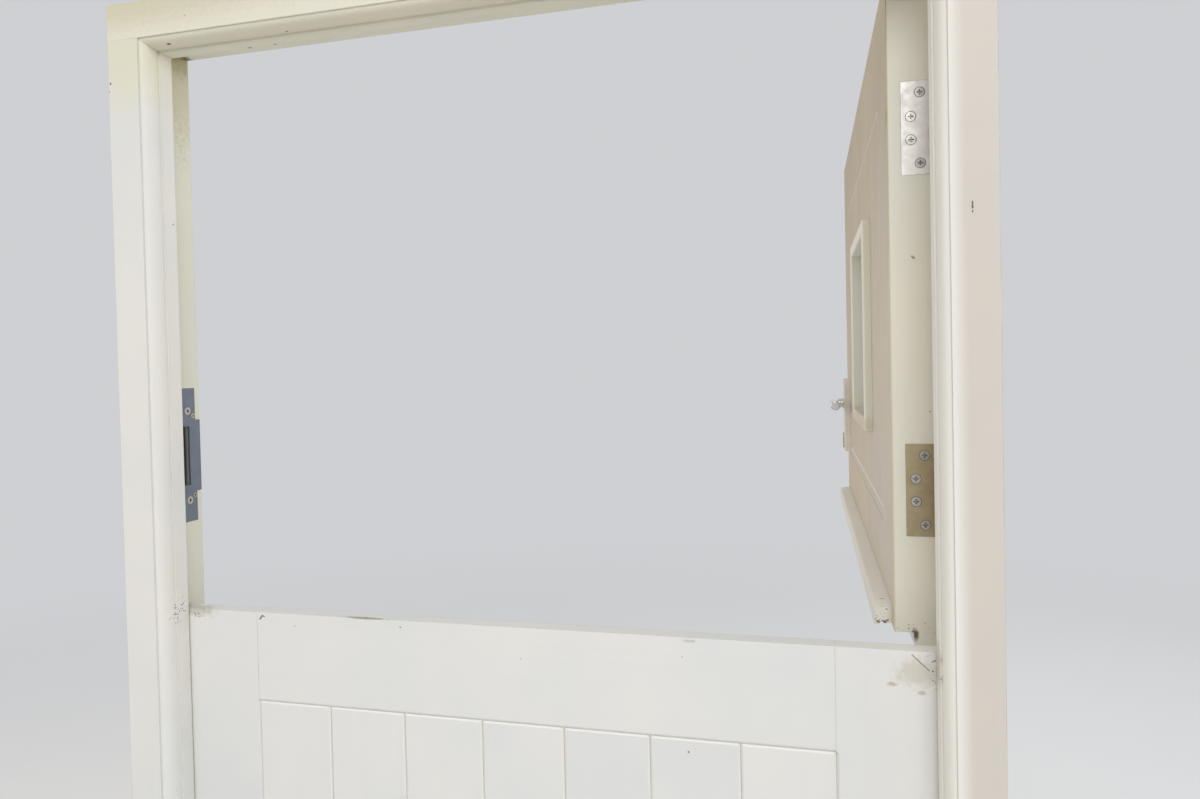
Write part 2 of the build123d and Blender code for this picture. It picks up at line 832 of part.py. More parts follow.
upper_z = (tongue_bottom, upper_top)
upper_top_rail_z = (upper_top - top_rail_height, upper_top)
upper_bottom_rail_z = (upper_bottom, upper_bottom + upper_bottom_rail_height)
lower_top_rail_z = (lower_top - top_rail_height, lower_top)
lower_bottom_rail_z = (lower_bottom, lower_bottom + lower_bottom_rail_height)
hinge_stile_x = (panel_right, hinge_edge)
lock_stile_x = (lock_edge, panel_left)


def handle_plate_places():
    """Screws of a handle plate, one near each corner, as leaf x and height."""
    side = backplate_width / 2 - backplate_screw_side
    reach = backplate_height / 2 - backplate_screw_end
    return [(x, z) for x in grown((backset_x, backset_x), side)
            for z in grown((lower_top + backplate_rise, lower_top + backplate_rise), reach)]


plate_faces = (outwards(upper, outer_face - backplate_thickness),
             inwards(upper, inner_face + backplate_thickness))


def plate_place(face, place):
    return place if face is plate_faces[0] else (-place[0], place[1])


def forend_places():
    reach = forend_height / 2 - forend_screw_end
    return [(lock_y, case_z - reach), (lock_y, case_z + reach)]


def edge_face(axes):
    """Plane of a leaf's lock edge: sketch x outwards, sketch y up, normal to the lock jamb."""
    return Plane(origin=axes.from_local_coords((lock_edge, 0, 0)), x_dir=-axes.y_dir, z_dir=-axes.x_dir)


def cylinder_bar(y, spare, mode=Mode.ADD):
    """Lock cylinder: a round barrel over a narrower round-bottomed web, between two leaf depths."""
    foot = cylinder_radius - cylinder_height + cylinder_width / 2
    with BuildSketch(outwards(upper, y[1])) as profile:
        with Locations((backset_x, cylinder_z)):
            Circle(cylinder_radius + spare)
        with Locations((backset_x, cylinder_z + foot / 2)):
            Rectangle(cylinder_width + 2 * spare, -foot)
        with Locations((backset_x, cylinder_z + foot)):
            Circle(cylinder_width / 2 + spare)
    extrude(profile.sketch, amount=y[1] - y[0], mode=mode)


leaf_y = (outer_face, inner_face)

with BuildPart() as upper_hinge_stile:
    stile(upper, hinge_stile_x, panel_right, upper_z, upper_panel, (upper_top_rail_z, upper_bottom_rail_z))
    upper_rebate(hinge_stile_x)
    for base in upper_hinges.values():
        hinge_bed(upper, -1, base)
save(upper_hinge_stile, "upper_hinge_stile")

with BuildPart() as upper_lock_stile:
    stile(upper, lock_stile_x, panel_left, upper_z, upper_panel, (upper_top_rail_z, upper_bottom_rail_z))
    upper_rebate(lock_stile_x)
    slab(upper, (lock_edge, lock_edge + case_depth + mortice_clearance),
         grown(about(lock_y, case_thickness), mortice_clearance),
         grown(about(case_z, case_height), mortice_clearance), Mode.SUBTRACT)
    slab(upper, (lock_edge, lock_edge + forend_thickness),
         grown(about(lock_y, forend_width), mortice_clearance),
         grown(about(case_z, forend_height), mortice_clearance), Mode.SUBTRACT)
    bar(outwards(upper, inner_face), (backset_x, spindle_z), spindle_hole_radius, leaf_thickness,
        Mode.SUBTRACT)
    cylinder_bar(leaf_y, 2 * mortice_clearance, Mode.SUBTRACT)
    for place in forend_places():
        screw_hole(edge_face(upper), (-place[0], place[1]), True)
    for face in plate_faces:
        for place in handle_plate_places():
            screw_hole(face, plate_place(face, place), True)
    for place in keep_screw_places(joining_keep_gap):
        screw_hole(joining_keep_face.offset(bolt_base_thickness), place, True)
save(upper_lock_stile, "upper_lock_stile")

with BuildPart() as upper_top_rail:
    rail(upper, upper_top_rail_z, upper_panel[1], upper_top_rail_z)
save(upper_top_rail, "upper_top_rail")

with BuildPart() as upper_bottom_rail:
    rail(upper, (tongue_bottom, upper_bottom_rail_z[1]), upper_panel[0], upper_bottom_rail_z)
    upper_rebate((panel_left, panel_right))
save(upper_bottom_rail, "upper_bottom_rail")


def board_spans(left, right):
    """Heights of a board of the upper leaf: one behind the window is in two lengths."""
    if hole_x[0] < left and right < hole_x[1]:
        return [(upper_panel[0], hole_z[0]), (hole_z[1], upper_panel[1])]
    return [upper_panel]


def board_edges(number):
    left = panel_left + number * board_pitch
    return left, left + board_pitch


with BuildPart() as upper_boards:
    for number in range(board_count):
        left, right = board_edges(number)
        for z in board_spans(left, right):
            board(upper, left, right, z, upper_panel, number == 0)
    slab(upper, hole_x, leaf_y, hole_z, Mode.SUBTRACT)
save(upper_boards, "upper_boards")


def weatherboard(axes, foot):
    """Rain deflector across a leaf's foot, between the stops, with a round nose and a drip groove."""
    nose = outer_face - weatherboard_projection
    top = foot + weatherboard_height
    x = grown(stop_reveals, -weatherboard_end_gap)
    with BuildSketch(across(axes, x[0])) as section:
        with BuildLine():
            Polyline((outer_face, foot + weatherboard_undercut), (nose, foot), (nose, top),
                     (outer_face, top + weatherboard_slope), close=True)
        make_face()
        fillet(section.vertices().group_by(Axis.X)[0].sort_by(Axis.Y)[-1], weatherboard_nose_radius)
    extrude(section.sketch, amount=x[1] - x[0])
    groove = (nose + drip_setback, foot + weatherboard_undercut * drip_setback / weatherboard_projection)
    bar(across(axes, x[0]), groove, drip_radius, x[1] - x[0], Mode.SUBTRACT)


with BuildPart() as upper_weatherboard:
    weatherboard(upper, upper_bottom + weatherboard_rise)
save(upper_weatherboard, "upper_weatherboard")


def square_ring(axes, outside, y):
    """Square ring round the window's clear opening."""
    slab(axes, about(window_x, outside), y, about(window_z, outside))
    clear = window_frame_size - 2 * window_frame_width
    slab(axes, about(window_x, clear), y, about(window_z, clear), Mode.SUBTRACT)


# Each moulding lies on a face of the boards, with a rim that runs into the hole and holds the glass

with BuildPart() as outer_window_frame:
    rim = outer_face + window_recess - glazing_gap
    square_ring(upper, window_frame_size, (outer_face - window_frame_thickness, outer_face))
    fillet(outer_window_frame.faces().sort_by(Axis((0, 0, 0), upper.y_dir))[0].edges(), window_frame_radius)
    square_ring(upper, window_hole - 2 * glazing_gap, (outer_face, rim))
save(outer_window_frame, "outer_window_frame")

with BuildPart() as inner_window_frame:
    board_back = outer_face + board_thickness
    rim = outer_face + window_recess + glass_thickness + glazing_gap
    square_ring(upper, window_frame_size, (board_back, board_back + window_frame_thickness))
    fillet(inner_window_frame.faces().sort_by(Axis((0, 0, 0), upper.y_dir))[-1].edges(), window_frame_radius)
    square_ring(upper, window_hole - 2 * glazing_gap, (rim, board_back))
save(inner_window_frame, "inner_window_frame")

with BuildPart() as window_glass:
    glass_size = window_hole - 2 * glass_clearance
    slab(upper, about(window_x, glass_size), behind(window_recess, window_recess + glass_thickness),
         about(window_z, glass_size))
save(window_glass, "window_glass")


# Lock and handles

with BuildPart() as lock_case:
    slab(upper, (lock_edge, lock_edge + case_depth), about(lock_y, case_thickness),
         about(case_z, case_height))
    slab(upper, (lock_edge + forend_thickness, lock_edge + case_depth - case_wall),
         grown(about(lock_y, case_thickness), -case_wall), grown(about(case_z, case_height), -case_wall),
         Mode.SUBTRACT)
    slab(upper, (lock_edge, lock_edge + forend_thickness), about(lock_y, forend_width),
         about(case_z, forend_height))
    for centre, height in ((latch_z, latch_height), (dead_bolt_z, dead_bolt_height)):
        slab(upper, (lock_edge, lock_edge + forend_thickness),
             grown(about(lock_y, bolt_thickness), bolt_clearance),
             grown(about(centre, height), bolt_clearance), Mode.SUBTRACT)
    case_back = outwards(upper, lock_y + case_thickness / 2)
    bar(case_back, (backset_x, spindle_z), follower_hub_radius + follower_fit, case_thickness, Mode.SUBTRACT)
    cylinder_bar(about(lock_y, case_thickness), cylinder_fit, Mode.SUBTRACT)
    for place in forend_places():
        screw_hole(edge_face(upper), (-place[0], place[1]), True)
save(lock_case, "lock_case")

with BuildPart() as forend_screws:
    for place in forend_places():
        screw(edge_face(upper), (-place[0], place[1]), True)
save(forend_screws, "forend_screws")

with BuildPart() as latch_bolt:
    latch_y = about(lock_y, bolt_thickness)
    latch_tip = lock_edge - latch_projection
    slab(upper, (latch_tip, latch_tip + latch_length), latch_y, about(latch_z, latch_height))
    prism(upper.offset(latch_z - latch_height / 2),
          [(latch_tip, latch_y[0]), (latch_tip, latch_y[0] + latch_bevel),
           (latch_tip + latch_bevel, latch_y[0])],
          latch_height, Mode.SUBTRACT)
save(latch_bolt, "latch_bolt")

with BuildPart() as dead_bolt:
    slab(upper, (lock_edge, lock_edge + dead_bolt_length), about(lock_y, bolt_thickness),
         about(dead_bolt_z, dead_bolt_height))
save(dead_bolt, "dead_bolt")

cylinder_y = (outer_face - backplate_thickness - cylinder_proud,
              inner_face + backplate_thickness + cylinder_proud)

with BuildPart() as lock_cylinder:
    cylinder_bar(cylinder_y, 0)
    slab(upper, about(backset_x, keyway_width), (cylinder_y[0], cylinder_y[0] + keyway_depth),
         about(cylinder_z, keyway_height), Mode.SUBTRACT)
    bar(outwards(upper, cylinder_y[1]), (backset_x, cylinder_z), turn_stem_radius + turn_fit,
        turn_stem_length, Mode.SUBTRACT)
save(lock_cylinder, "lock_cylinder")

with BuildPart() as thumb_turn:
    turn_face = inwards(upper, cylinder_y[1])
    turn_place = (-backset_x, cylinder_z)
    bar(turn_face.offset(-turn_stem_length + turn_fit), turn_place, turn_stem_radius,
        turn_stem_length - turn_fit + turn_gap)
    with BuildSketch(turn_face.offset(turn_gap)) as grip:
        with Locations(turn_place):
            Rectangle(turn_thickness, 2 * turn_radius)
    extrude(grip.sketch, amount=turn_length)
    fillet(thumb_turn.faces().sort_by(Axis((0, 0, 0), upper.y_dir))[-1].edges(), turn_edge_radius)
save(thumb_turn, "thumb_turn")


def handle_plate(y, front_index):
    """Plate behind a lever, with the holes that spindle and cylinder pass through."""
    with BuildPart() as plate:
        slab(upper, about(backset_x, backplate_width), y, about(lower_top + backplate_rise, backplate_height))
        fillet(plate.faces().sort_by(Axis((0, 0, 0), upper.y_dir))[front_index].edges(), backplate_radius)
        bar(outwards(upper, y[1]), (backset_x, spindle_z), backplate_hole_radius, y[1] - y[0], Mode.SUBTRACT)
        cylinder_bar(y, cylinder_fit, Mode.SUBTRACT)
        face = plate_faces[front_index]
        for place in handle_plate_places():
            screw_hole(face, plate_place(face, place), True)
    return plate


save(handle_plate((outer_face - backplate_thickness, outer_face), 0), "outer_handle_plate")
save(handle_plate((inner_face, inner_face + backplate_thickness), -1), "inner_handle_plate")

with BuildPart() as handle_plate_screws:
    for face in plate_faces:
        for place in handle_plate_places():
            screw(face, plate_place(face, place), True)
save(handle_plate_screws, "handle_plate_screws")

spindle_reach = backplate_thickness + lever_gap + collar_length

with BuildPart() as spindle:
    slab(upper, about(backset_x, spindle_size), grown(leaf_y, spindle_reach - spindle_fit),
         about(spindle_z, spindle_size))
save(spindle, "spindle")

with BuildPart() as lock_follower:
    bar(outwards(upper, lock_y + case_thickness / 2), (backset_x, spindle_z), follower_hub_radius,
        case_thickness)
    inside = case_thickness - 2 * (case_wall + bolt_clearance)
    bar(outwards(upper, lock_y + inside / 2), (backset_x, spindle_z), follower_radius, inside)
    slab(upper, grown(about(backset_x, spindle_size), spindle_fit), about(lock_y, case_thickness),
         grown(about(spindle_z, spindle_size), spindle_fit), Mode.SUBTRACT)
save(lock_follower, "lock_follower")


def lever(face_y, toward):
    """Lever of round bar on a collar: toward is -1 outside and 1 inside."""
    start = face_y + toward * (backplate_thickness + lever_gap)
    axis_y = face_y + toward * (lever_projection - lever_radius)
    collar_y = sorted((start, start + toward * collar_length))
    with BuildPart() as handle:
        bar(outwards(upper, collar_y[1]), (backset_x, spindle_z), collar_radius, collar_length)
        with BuildLine(upper.offset(spindle_z)) as path:
            FilletPolyline((backset_x, start), (backset_x, axis_y), (backset_x + lever_length, axis_y),
                           radius=lever_bend)
        with BuildSketch(Plane(origin=path.line @ 0, z_dir=path.line % 0)) as section:
            Circle(lever_radius)
        sweep(section.sketch, path=path.line)
        end = handle.faces().sort_by(Axis((0, 0, 0), upper.x_dir))[-1]
        fillet(end.edges(), lever_end_radius)
        slab(upper, grown(about(backset_x, spindle_size), spindle_fit), collar_y,
             grown(about(spindle_z, spindle_size), spindle_fit), Mode.SUBTRACT)
    return handle


save(lever(outer_face, -1), "outer_lever")
save(lever(inner_face, 1), "inner_lever")


# Lower leaf

with BuildPart() as lower_hinge_stile:
    stile(lower, hinge_stile_x, panel_right, (lower_bottom, lower_top), lower_panel,
          (lower_top_rail_z, lower_bottom_rail_z))
    lower_rebates(hinge_stile_x)
    for base in lower_hinges.values():
        hinge_bed(lower, -1, base)
save(lower_hinge_stile, "lower_hinge_stile")

with BuildPart() as lower_lock_stile:
    stile(lower, lock_stile_x, panel_left, (lower_bottom, lower_top), lower_panel,
          (lower_top_rail_z, lower_bottom_rail_z))
    lower_rebates(lock_stile_x)
    for place in base_screw_places(jamb_bolt_start):
        screw_hole(jamb_bolt_face.offset(bolt_base_thickness), place, True)
    for place in base_screw_places(joining_bolt_start):
        screw_hole(joining_bolt_face.offset(bolt_base_thickness), place, True)
save(lower_lock_stile, "lower_lock_stile")

with BuildPart() as lower_top_rail:
    rail(lower, lower_top_rail_z, lower_panel[1], (lower_top_rail_z[0], lower_top - upstand_height))
    lower_rebates((panel_left, panel_right))
save(lower_top_rail, "lower_top_rail")

with BuildPart() as lower_bottom_rail:
    rail(lower, lower_bottom_rail_z, lower_panel[0], lower_bottom_rail_z)
    lower_rebates((panel_left, panel_right))
save(lower_bottom_rail, "lower_bottom_rail")

with BuildPart() as lower_boards:
    for number in range(board_count):
        left, right = board_edges(number)
        board(lower, left, right, lower_panel, lower_panel, number == 0)
save(lower_boards, "lower_boards")

with BuildPart() as lower_weatherboard:
    weatherboard(lower, lower_bottom + bar_rebate_height + weatherboard_rise)
save(lower_weatherboard, "lower_weatherboard")

with BuildPart() as jamb_bolt_base:
    bolt_base(jamb_bolt_face, jamb_bolt_start)
save(jamb_bolt_base, "jamb_bolt_base")

with BuildPart() as jamb_bolt_rod:
    bolt_rod(jamb_bolt_face, jamb_bolt_start)
save(jamb_bolt_rod, "jamb_bolt_rod")

with BuildPart() as jamb_bolt_keep:
    keep(jamb_keep_face, jamb_keep_start, jamb_keep_rod_height)
save(jamb_bolt_keep, "jamb_bolt_keep")

with BuildPart() as joining_bolt_base:
    bolt_base(joining_bolt_face, joining_bolt_start)
save(joining_bolt_base, "joining_bolt_base")

with BuildPart() as joining_bolt_rod:
    bolt_rod(joining_bolt_face, joining_bolt_start)
save(joining_bolt_rod, "joining_bolt_rod")

with BuildPart() as joining_bolt_keep:
    keep(joining_keep_face, joining_keep_gap, rod_height)
save(joining_bolt_keep, "joining_bolt_keep")

with BuildPart() as bolt_base_screws:
    for face, start in ((jamb_bolt_face, jamb_bolt_start), (joining_bolt_face, joining_bolt_start)):
        for place in base_screw_places(start):
            screw(face.offset(bolt_base_thickness), place, True)
save(bolt_base_screws, "bolt_base_screws")

with BuildPart() as jamb_keep_screws:
    for place in keep_screw_places(jamb_keep_start):
        screw(jamb_keep_face.offset(bolt_base_thickness), place, True)
save(jamb_keep_screws, "jamb_keep_screws")

with BuildPart() as joining_keep_screws:
    for place in keep_screw_places(joining_keep_gap):
        screw(joining_keep_face.offset(bolt_base_thickness), place, True)
save(joining_keep_screws, "joining_keep_screws")
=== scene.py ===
"""Looks of the stable door: brush-painted timber, satin and chromed metal, glass, and the scene round it."""

import math

import bpy
from mathutils import Matrix, Vector

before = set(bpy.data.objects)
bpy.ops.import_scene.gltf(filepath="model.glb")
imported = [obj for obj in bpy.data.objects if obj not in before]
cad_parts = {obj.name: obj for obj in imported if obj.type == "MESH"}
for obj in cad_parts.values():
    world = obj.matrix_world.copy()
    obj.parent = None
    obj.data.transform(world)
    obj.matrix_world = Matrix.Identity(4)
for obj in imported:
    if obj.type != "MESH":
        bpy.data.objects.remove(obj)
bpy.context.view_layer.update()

# Photograph's frame in pixels, and the camera solved from its straight edges in metres and degrees
photo_width = 1200
photo_height = 799
focal_length = 808.8
optical_centre = (604.4, 382.8)
camera_place = Vector((0.3314, -0.8931, 1.6119))
camera_yaw = -13.96
camera_pitch = -1.09
camera_roll = -1.26
sensor_width = 36.0

# Joints of the leaves' boards and rails at rest, in metres
board_pitch = 0.102
boards_in_row = 7
stile_width = 0.115
leaf_hinge_edge = 0.472
upper_hinge_edge = 0.052
upper_lock_edge = 0.996
upper_outer_face = 0.423
first_lower_groove = leaf_hinge_edge - stile_width
last_lower_groove = first_lower_groove - boards_in_row * board_pitch
first_upper_groove = upper_hinge_edge + stile_width
last_upper_groove = first_upper_groove + boards_in_row * board_pitch
lower_rail_joint = 1.193
upper_rail_joints = (1.431, 1.921)

# Paint colours, with painted shade, warm light and highlights among them, linear
frame_cream = (0.730, 0.730, 0.702)
# The right jamb's paint, darker and pinker than the left's: painted shade and warm light
shaded_jamb_pink = (0.630, 0.590, 0.535)
head_cream = (0.745, 0.725, 0.610)
leaf_cream = (0.738, 0.742, 0.722)
# The upper leaf's edges: yellowed paint together with painted shade and warm light
edge_cream_and_shade = (0.785, 0.765, 0.660)
# Painted shade and warm light on the upper leaf's outer face, darker towards its lock edge and its top
face_near_shade = (0.650, 0.590, 0.490)
face_far_shade = (0.590, 0.515, 0.405)
face_top_shade = (0.530, 0.450, 0.330)
board_cream = (0.800, 0.775, 0.700)
window_cream = (0.820, 0.815, 0.720)
# Painted highlights in the V-grooves and joints
groove_highlight_cream = (0.780, 0.770, 0.720)
joint_highlight_white = (0.900, 0.890, 0.860)
sill_cream = (0.600, 0.570, 0.490)

# Colours of dirt, mildew and aged paint, and of painted shade, shadow and highlight, linear
# The corners' tint: mildew together with painted shade in corners and between parts
mildew_and_shade = (0.440, 0.400, 0.210)
corner_mildew = (0.240, 0.200, 0.085)
head_mildew = (0.500, 0.460, 0.260)
top_yellow = (0.700, 0.670, 0.490)
# Painted shade on the left jamb's rebate face, yellow-green
rebate_shade_yellow = (0.680, 0.680, 0.520)
# Painted highlight on the right jamb's mould and stop, lighter than its face
lit_mould_cream = (0.800, 0.790, 0.740)
window_foot_beige = (0.600, 0.510, 0.360)
# Dark dirt, also used for the painted shade in metal's corners
dirt_and_shade = (0.090, 0.070, 0.045)
grey_dirt = (0.400, 0.360, 0.270)
corner_dirt = (0.460, 0.410, 0.290)
brown_dirt = (0.350, 0.280, 0.160)
arris_dirt = (0.300, 0.240, 0.150)
scratch_brown = (0.300, 0.200, 0.100)
edge_brown = (0.300, 0.240, 0.130)
arris_moss = (0.360, 0.330, 0.150)
# Painted shadow in the notch at the foot of the upper leaf's hinge edge
notch_shadow_dark = (0.100, 0.080, 0.040)
chip_brown = (0.160, 0.100, 0.060)
crack_brown = (0.160, 0.110, 0.070)
speck_brown = (0.045, 0.032, 0.022)
slot_shade = (0.030, 0.045, 0.052)

# Colours of metal, rubber and glass, linear
satin_steel = (0.86, 0.83, 0.80)
browned_steel = (0.51, 0.430, 0.280)
zinc = (0.63, 0.61, 0.57)
keep_blue = (0.175, 0.205, 0.260)
bolt_black = (0.022, 0.023, 0.024)
lock_steel = (0.52, 0.52, 0.51)
cylinder_brass = (0.60, 0.45, 0.19)
lever_chrome = (0.80, 0.81, 0.82)
plate_cream = (0.84, 0.82, 0.75)
galvanised = (0.50, 0.51, 0.51)
seal_grey = (0.62, 0.60, 0.55)
glass_tint = (0.93, 0.975, 0.955)
glass_ior = 1.52

# Stretches of a noise over which one tone turns into another
middle_span = (0.3, 0.7)
cloud_span = (0.35, 0.65)
streak_span = (0.45, 0.85)

# Rays that each point of a surface sends out for its shelter and its rounded edges
shelter_samples = 4
rounding_samples = 2

# Paint film: scales of its noises, and heights and radii in metres
brush_scale = 900.0
brush_height = 0.000020
grain_scale = 210.0
grain_height = 0.000050
ripple_scale = 22.0
ripple_height = 0.000160
arris_radius = 0.0012
timber_stretch = 0.022
board_shift = (0.37, 0.53, 1.7)
cloud_scale = 2.6
cool_share = (0.955, 0.960, 0.970)
warm_share = (1.030, 1.005, 0.985)
streak_scale = 120.0
streak_strength = 0.10
streak_share = 0.86
groove_reach = (0.0036, 0.0012)
gloss_scale = 9.0
paint_roughness = (0.48, 0.58)
paint_specular = 0.35

# Soiling, and painted shade in corners and between parts: scales of their noises, their strengths, and
# lengths in metres
grime_shade_reach = 0.045
grime_shade_scale = 55.0
grime_shade_span = (0.25, 0.95)
grime_shade_ragged = 0.5
spot_scale = 48.0
spot_size = 0.10
spot_strength = 0.8
pepper_scale = 420.0
pepper_size = 0.45
pepper_strength = 0.9
blot_scale = 160.0
blot_span = (1.15, 0.35)
blot_ragged = 1.6
stroke_scale = 900.0
stroke_core = 0.4
least_run_squared = 1e-9

# Where the upper leaf's outer face carries painted shade and warm light, and its edges yellowed paint with
# painted shade, in metres
face_fade_y = (0.08, 0.75)
face_fade_z = (1.62, 2.03)
face_limit = (upper_outer_face + 0.0020, upper_outer_face + 0.0006)
near_edge_limit = (upper_hinge_edge + 0.0016, upper_hinge_edge + 0.0006)
far_edge_limit = (upper_lock_edge - 0.0016, upper_lock_edge - 0.0006)

# Metal's surface: scales of its noises, and lengths in metres
line_scale = 2600.0
line_height = 0.000006
metal_stretch = 0.03
metal_cloud_scale = 60.0
metal_dark_share = 0.90
metal_gloss_scale = 140.0
metal_gloss_spread = (-0.06, 0.08)
metal_rounding = 0.0004
# Reach and raggedness of the dirt and painted shade in metal's corners
soil_shade_reach = 0.004
soil_shade_ragged = 0.8
screw_soil_shade_reach = 0.009
screw_rim = 0.0009
rim_turn = (0.08, 0.35)
rim_strength = 0.85

# Rubber and glass: scales of their noises, and heights in metres
rubber_scale = 400.0
rubber_height = 0.00004
rubber_dark_share = 0.85
rubber_roughness = 0.75
wave_scale = 6.0
wave_height = 0.0003
smear_scale = 14.0
smear_span = (0.45, 0.8)
smear_roughness = 0.06

# Studio
backdrop = (0.62, 0.63, 0.65)
sky_colour = (0.98, 0.99, 1.0)
sky_strength = 0.56
floor_size = 60.0
floor_colours = ((0.76, 0.76, 0.76), (0.79, 0.79, 0.785))
floor_tone_scale = 1.2
floor_roughness = 0.9
floor_fade = (1.5, 7.0)
floor_fade_share = (0.35, 1.0)

# Axes across the grain: the axis that is left out runs along it
UPRIGHT = (1, 1, 0)
LEVEL_X = (0, 1, 1)
LEVEL_Y = (1, 0, 1)


def tinted(colour, share):
    """colour with each channel taken by its own share."""
    return tuple(channel * part for channel, part in zip(colour, share))


def dimmed(colour, share):
    return tuple(channel * share for channel in colour)


class Tree:
    """A material's node tree, with short calls for the nodes that several materials use."""

    def __init__(self, name):
        self.material = bpy.data.materials.new(name)
        self.material.use_nodes = True
        self.tree = self.material.node_tree
        self.shader = self.tree.nodes["Principled BSDF"]
        self.place = self.node("ShaderNodeTexCoord").outputs["Object"]
        self.made = {}

    def set(self, socket, value):
        """Links value if it is a socket, and otherwise writes it on the socket itself."""
        if isinstance(value, bpy.types.NodeSocket):
            self.tree.links.new(value, socket)
        elif isinstance(value, tuple) and len(value) == 3 and socket.type == "RGBA":
            socket.default_value = (*value, 1.0)
        else:
            socket.default_value = value

    def node(self, kind, inputs=None, **settings):
        made = self.tree.nodes.new(kind)
        for key, value in settings.items():
            setattr(made, key, value)
        for key, value in (inputs or {}).items():
            self.set(made.inputs[key], value)
        return made

    def math(self, operation, a, b=0.0):
        return self.node("ShaderNodeMath", {0: a, 1: b}, operation=operation).outputs[0]

    def vector(self, operation, *inputs):
        return self.node("ShaderNodeVectorMath", dict(enumerate(inputs)), operation=operation)

    def length(self, value):
        return self.vector("LENGTH", value).outputs["Value"]

    def span(self, value, low, high, to_low=0.0, to_high=1.0):
        """value's stretch from low to high, eased and clamped, as to_low to to_high."""
        return self.node(
            "ShaderNodeMapRange",
            {"Value": value, "From Min": low, "From Max": high, "To Min": to_low, "To Max": to_high},
            interpolation_type="SMOOTHSTEP",
        ).outputs["Result"]

    def noise(self, vector, scale, detail=2.0, roughness=0.5):
        return self.node(
            "ShaderNodeTexNoise",
            {"Vector": vector, "Scale": scale, "Detail": detail, "Roughness": roughness},
        ).outputs["Fac"]

    def ragged(self, scale):
        """A fine noise from -0.5 to 0.5, made once for all the marks that share its scale."""
        key = ("ragged", scale)
        if key not in self.made:
            fine = self.noise(self.place, scale, detail=4.0, roughness=0.7)
            self.made[key] = self.math("SUBTRACT", fine, 0.5)
        return self.made[key]

    def mix(self, factor, a, b):
        made = self.node("ShaderNodeMix", data_type="RGBA")
        self.set(made.inputs[0], factor)
        self.set(made.inputs[6], a)
        self.set(made.inputs[7], b)
        return made.outputs[2]

    def axis(self, index):
        return self.node("ShaderNodeSeparateXYZ", {0: self.place}).outputs[index]

    def drawn_out(self, place, across, share):
        """place squeezed along the grain, so that a noise on it runs out along the grain."""
        scale = tuple(1.0 if flag else share for flag in across)
        return self.node("ShaderNodeMapping", {"Vector": place, "Scale": scale}).outputs["Vector"]

    def bump(self, height, rounding=0.0):
        """The surface normal for a height in metres, over edges rounded to that radius."""
        made = self.node("ShaderNodeBump", {"Strength": 1.0, "Distance": 1.0, "Height": height})
        if rounding:
            self.set(made.inputs["Normal"], self.rounded(rounding))
        return made.outputs["Normal"]

    def rounded(self, radius):
        return self.node("ShaderNodeBevel", {"Radius": radius}, samples=rounding_samples).outputs["Normal"]

    def shade(self, **values):
        for key, value in values.items():
            self.set(self.shader.inputs[key.replace("_", " ")], value)
        return self.material


def specks(tree, scale, share, size):
    """A mask of small round spots in a few cells of a random pattern."""
    cells = tree.node("ShaderNodeTexVoronoi", {"Vector": tree.place, "Scale": scale})
    chance = tree.node("ShaderNodeSeparateColor", {0: cells.outputs["Color"]})
    chosen = tree.math("LESS_THAN", chance.outputs["Red"], share)
    radius = tree.math("MULTIPLY", chance.outputs["Green"], size)
    spot_mask = tree.math("LESS_THAN", cells.outputs["Distance"], radius)
    return tree.math("MULTIPLY", chosen, spot_mask)


def corner_grime_and_shade(tree, reach, ragged):
    """A mask that grows in the corners between surfaces and between parts, within reach metres of them, for
    dirt together with painted shade.
    """
    shelter = tree.node("ShaderNodeAmbientOcclusion", {"Distance": reach}, samples=shelter_samples)
    depth = tree.math("SUBTRACT", 1.0, shelter.outputs["AO"])
    rough = tree.math("SUBTRACT", tree.noise(tree.place, grime_shade_scale, detail=4.0, roughness=0.65), 0.5)
    return tree.span(tree.math("ADD", depth, tree.math("MULTIPLY", rough, ragged)), *grime_shade_span)


def paint_relief(tree, place, along):
    """Height of the paint: brush marks and grain along the timber, and a slow ripple where it pools."""
    brush = tree.noise(along, brush_scale, roughness=0.6)
    grain = tree.noise(along, grain_scale, detail=5.0, roughness=0.6)
    ripple = tree.noise(place, ripple_scale)
    height = tree.math("MULTIPLY", brush, brush_height)
    height = tree.math("ADD", height, tree.math("MULTIPLY", grain, grain_height))
    return tree.math("ADD", height, tree.math("MULTIPLY", ripple, ripple_height))


def paint_tone(tree, colour, place, along):
    """The paint's colour, a little cooler and warmer by turns, with faint darker streaks along the timber."""
    cloud = tree.noise(place, cloud_scale, detail=4.0, roughness=0.6)
    base = tree.mix(tree.span(cloud, *cloud_span), tinted(colour, cool_share), tinted(colour, warm_share))
    streak = tree.noise(along, streak_scale, detail=3.0)
    return tree.mix(tree.span(streak, *streak_span, 0.0, streak_strength), base, dimmed(colour, streak_share))


